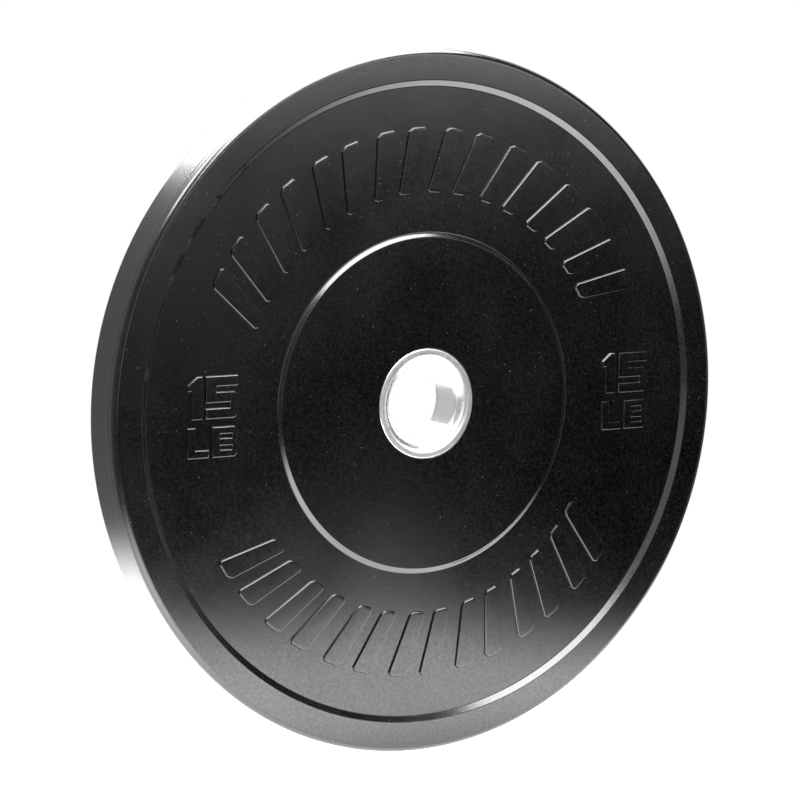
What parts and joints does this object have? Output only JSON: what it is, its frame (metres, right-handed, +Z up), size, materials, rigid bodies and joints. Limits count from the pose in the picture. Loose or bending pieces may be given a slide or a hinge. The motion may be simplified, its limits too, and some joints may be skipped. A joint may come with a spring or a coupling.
{
  "type": "bumper plate",
  "caption": "Round solid-rubber weight plate with raised rims, sunken panels, raised weight figures and slanted bars, and a steel-lined bore for a barbell sleeve.",
  "frame": {"origin": "centre of the bore, halfway between the two rim faces, which is the centre of the bounding box", "axes": "+Z up with the plate standing on its tread, Y along the bore's axis with the front face looking along -Y, and +X to the right seen from the front"},
  "size_m": [0.45, 0.033, 0.45],
  "materials": {
    "rubber": "satin black vulcanised rubber with a fine moulded grain",
    "polished_steel": "polished stainless steel",
    "satin_steel": "turned satin stainless steel",
    "plain_steel": "plain stamped steel"
  },
  "bodies": {
    "root": {"rubber_body": "rubber", "hub_sleeve": "polished_steel", "front_flange": "satin_steel", "rear_flange": "satin_steel", "anchor_disc": "plain_steel"}
  },
  "joints": []
}
